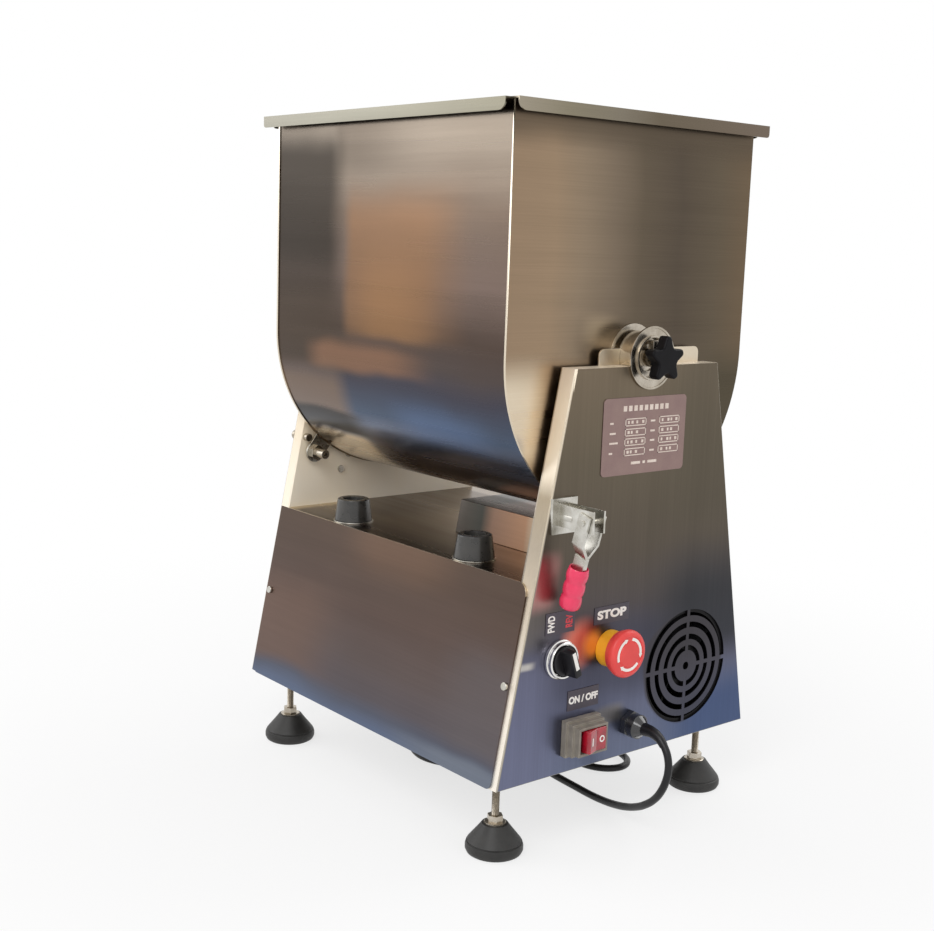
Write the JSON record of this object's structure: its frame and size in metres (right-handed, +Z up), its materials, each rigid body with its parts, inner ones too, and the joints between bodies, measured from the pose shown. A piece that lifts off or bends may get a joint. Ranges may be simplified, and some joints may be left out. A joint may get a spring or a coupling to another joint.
{
  "type": "tilting meat mixer",
  "caption": "Table-top tilting meat mixer: a steel tank with a paddle shaft, hung between two end towers over a drive housing, with lock clamp, switches, fan and mains cable.",
  "frame": {"origin": "on the table under the middle of the whole machine, cable left out", "axes": "+X along the mixing shaft towards the control tower, -Y the front, +Z up"},
  "size_m": [0.3903, 0.273, 0.545],
  "materials": {
    "brushed_steel": "satin, brushed up and down",
    "tank_steel": "satin, brushed along the tank",
    "zinc_steel": "zinc plated",
    "turned_steel": "turned",
    "black_rubber": "moulded",
    "white_seal": "turned",
    "black_plastic": "moulded",
    "cable_black": "extruded",
    "oiled_steel": "oiled",
    "cast_aluminium": "cast",
    "circuit_board": "boxed board",
    "chrome_bezel": "polished",
    "yellow_plastic": "moulded",
    "red_plastic": "moulded",
    "red_lens": "translucent",
    "grey_plastic": "moulded",
    "plate_foil": "printed foil",
    "pink_grip": "dipped vinyl",
    "brass_pins": "bright"
  },
  "bodies": {
    "base": {"right_tower_shell": "brushed_steel", "right_tower_plate": "brushed_steel", "left_tower_shell": "brushed_steel", "left_tower_plate": "brushed_steel", "front_panel": "brushed_steel", "back_panel": "brushed_steel", "deck": "brushed_steel", "drive_cover": "brushed_steel", "bottom_plate": "brushed_steel", "case_screws": "zinc_steel", "tower_bolts": "zinc_steel", "bumpers": "black_rubber", "bumper_washers": "zinc_steel", "stop_stud": "zinc_steel", "bearing_left": "turned_steel", "bearing_right": "turned_steel", "chain": "oiled_steel", "gear_case": "cast_aluminium", "motor_housing": "cast_aluminium", "fan_frame": "black_plastic", "speed_control": "circuit_board", "contact_blocks": "black_plastic", "selector_bezel": "chrome_bezel", "estop_collar": "yellow_plastic", "rocker_frame": "grey_plastic", "data_plate": "plate_foil", "labels": "black_plastic", "clamp_base": "zinc_steel", "gland": "cable_black", "cable": "cable_black", "cable_coil": "cable_black", "cable_tail": "cable_black", "plug": "cable_black", "plug_pins": "brass_pins", "foot_pads": "black_rubber", "foot_studs": "zinc_steel", "foot_nuts": "zinc_steel"},
    "tank": {"tank_wrap": "tank_steel", "tank_end_left": "tank_steel", "tank_end_right": "tank_steel", "tank_lugs": "tank_steel", "stop_pin": "zinc_steel", "trunnions": "turned_steel", "shaft_seals": "white_seal"},
    "shaft": {"mixing_shaft": "turned_steel", "paddles": "turned_steel", "shaft_lug": "turned_steel", "shaft_sprocket": "oiled_steel"},
    "star_knob": {"star_knob": "black_plastic"},
    "output": {"output_shaft": "oiled_steel", "motor_sprocket": "oiled_steel"},
    "layshaft": {"layshaft": "oiled_steel"},
    "rotor": {"motor_rotor": "oiled_steel"},
    "fan": {"fan_rotor": "black_plastic"},
    "selector": {"selector_knob": "black_plastic"},
    "stop_button": {"estop_head": "red_plastic"},
    "switch": {"rocker": "red_lens"},
    "handle": {"clamp_handle": "zinc_steel", "clamp_grip": "pink_grip"},
    "plunger": {"clamp_plunger": "zinc_steel"}
  },
  "joints": [
    {"name": "tank_tilt", "type": "hinge", "parent": "base", "child": "tank", "pos_m": [0.13325, 0, 0.368], "axis": [1, 0, 0], "range_deg": [0, 97.5]},
    {"name": "shaft_turn", "type": "hinge", "parent": "base", "child": "shaft", "pos_m": [-0.01675, 0, 0.368], "axis": [1, 0, 0], "continuous": true},
    {"name": "knob_turn", "type": "hinge", "parent": "shaft", "child": "star_knob", "pos_m": [0.16625, 0, 0.368], "axis": [1, 0, 0], "continuous": true},
    {"name": "output_turn", "type": "hinge", "parent": "base", "child": "output", "pos_m": [-0.14675, 0, 0.15], "axis": [1, 0, 0], "continuous": true},
    {"name": "layshaft_turn", "type": "hinge", "parent": "base", "child": "layshaft", "pos_m": [-0.14175, 0, 0.1078], "axis": [1, 0, 0], "continuous": true},
    {"name": "rotor_turn", "type": "hinge", "parent": "base", "child": "rotor", "pos_m": [-0.03675, 0.02999, 0.11895], "axis": [1, 0, 0], "continuous": true},
    {"name": "fan_turn", "type": "hinge", "parent": "base", "child": "fan", "pos_m": [0.14025, 0.06, 0.121], "axis": [1, 0, 0], "continuous": true},
    {"name": "selector_turn", "type": "hinge", "parent": "base", "child": "selector", "pos_m": [0.16125, -0.08, 0.151], "axis": [1, 0, 0], "range_deg": [-40, 40]},
    {"name": "stop_push", "type": "slide", "parent": "base", "child": "stop_button", "axis": [-1, 0, 0], "range_m": [0, 0.004]},
    {"name": "switch_tilt", "type": "hinge", "parent": "base", "child": "switch", "pos_m": [0.15875, -0.0565, 0.089], "axis": [0, 0, 1], "range_deg": [-20, 0]},
    {"name": "handle_swing", "type": "hinge", "parent": "base", "child": "handle", "pos_m": [0.18225, -0.083, 0.258], "axis": [0, -1, 0], "range_deg": [0, 70]},
    {"name": "plunger_slide", "type": "slide", "parent": "base", "child": "plunger", "axis": [-1, 0, 0], "range_m": [0, 0.0024]}
  ],
  "couplings": [
    {"joint": "output_turn", "follows": "shaft_turn", "ratio": 1},
    {"joint": "layshaft_turn", "follows": "shaft_turn", "ratio": -4.25},
    {"joint": "rotor_turn", "follows": "shaft_turn", "ratio": 18.275},
    {"joint": "plunger_slide", "follows": "handle_swing", "m_per_rad": 0.00196}
  ]
}
